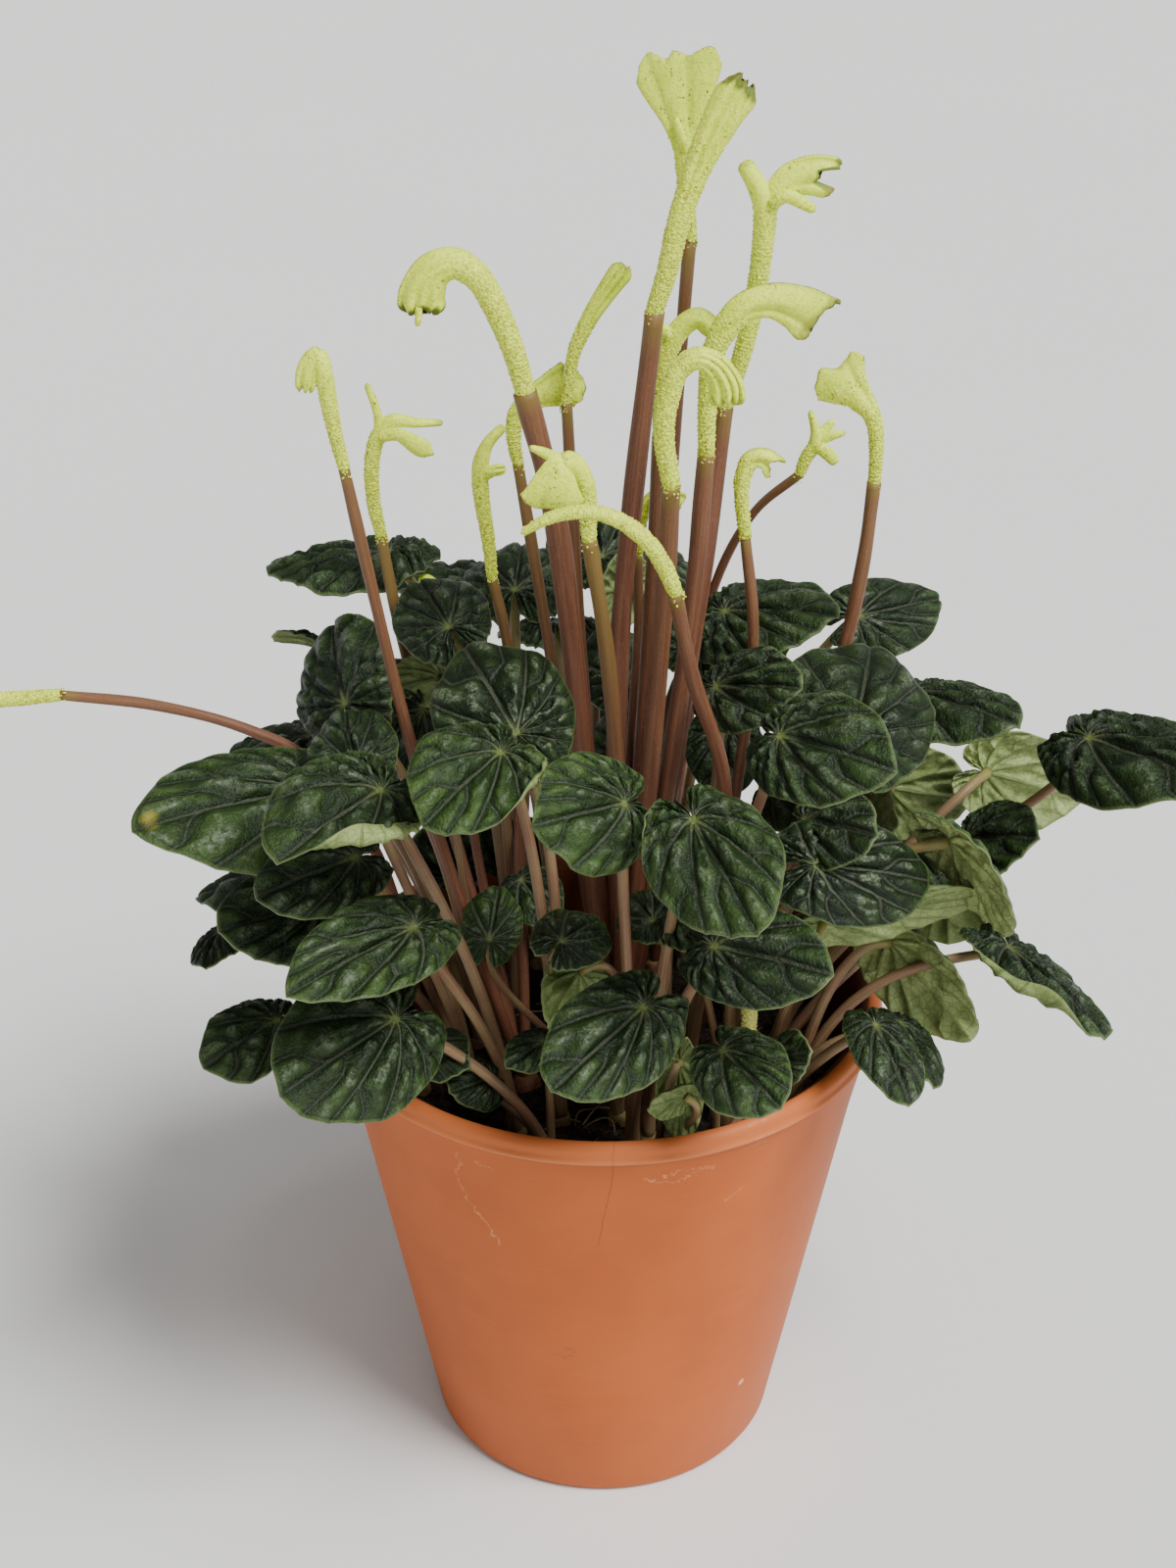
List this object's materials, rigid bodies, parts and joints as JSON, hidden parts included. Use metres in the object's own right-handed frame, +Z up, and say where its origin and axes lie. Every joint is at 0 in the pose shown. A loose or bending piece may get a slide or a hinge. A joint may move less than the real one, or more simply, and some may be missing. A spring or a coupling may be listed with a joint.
{
  "type": "potted peperomia plant",
  "caption": "House plant with rippled dark leaves and tall crested flower spikes in a tapered terracotta pot.",
  "frame": {"origin": "centre of the pot's underside, on the surface that the pot stands on", "axes": "+Z up through the pot; -Y towards the picture's viewer; +X to the viewer's right"},
  "size_m": [0.3495, 0.241, 0.4097],
  "materials": {
    "terracotta": "satin fired clay with pale scuffs",
    "soil": "matte crumbly potting soil",
    "leaf": "satin corrugated leaf, pale underneath; pink-tan petioles",
    "stalk": "satin red-brown stem",
    "flower": "fine-grained pale lime flower spike"
  },
  "bodies": {
    "root": {"pot": "terracotta", "soil": "soil", "shoot_back": "leaf", "shoot_back_left": "leaf", "shoot_back_right": "leaf", "shoot_front_high": "leaf", "shoot_front_inner": "leaf", "shoot_front_left": "leaf", "shoot_front_low": "leaf", "shoot_front_low_left": "leaf", "shoot_front_low_right": "leaf", "shoot_front_mid": "leaf", "shoot_inner_back": "leaf", "shoot_inner_front": "leaf", "shoot_left": "leaf", "shoot_left_front": "leaf", "shoot_left_high": "leaf", "shoot_left_low": "leaf", "shoot_left_mid": "leaf", "shoot_rear": "leaf", "shoot_rear_left": "leaf", "shoot_rear_mid_left": "leaf", "shoot_rear_mid_right": "leaf", "shoot_rear_right": "leaf", "shoot_right": "leaf", "shoot_right_back": "leaf", "shoot_right_behind": "leaf", "shoot_right_front": "leaf", "shoot_right_high": "leaf", "shoot_right_inner": "leaf", "shoot_right_low": "leaf", "shoot_right_mid": "leaf", "shoot_right_rim": "leaf", "stalk_back": "stalk", "stalk_low": "stalk", "stalk_trailing": "stalk", "stalks_centre": "stalk", "stalks_left": "stalk", "stalks_right": "stalk", "head_arched": "flower", "head_back_right": "flower", "head_behind": "flower", "head_blunt": "flower", "head_bud": "flower", "head_fan_right": "flower", "head_flap_left": "flower", "head_forked": "flower", "head_hooded": "flower", "head_hooked": "flower", "head_low": "flower", "head_low_arch": "flower", "head_pronged": "flower", "head_ribbed": "flower", "head_short_back": "flower", "head_small_hook": "flower", "head_spatula": "flower", "head_tall_back": "flower", "head_tall_front": "flower", "head_trailing": "flower", "head_twin_lobes": "flower"}
  },
  "joints": []
}
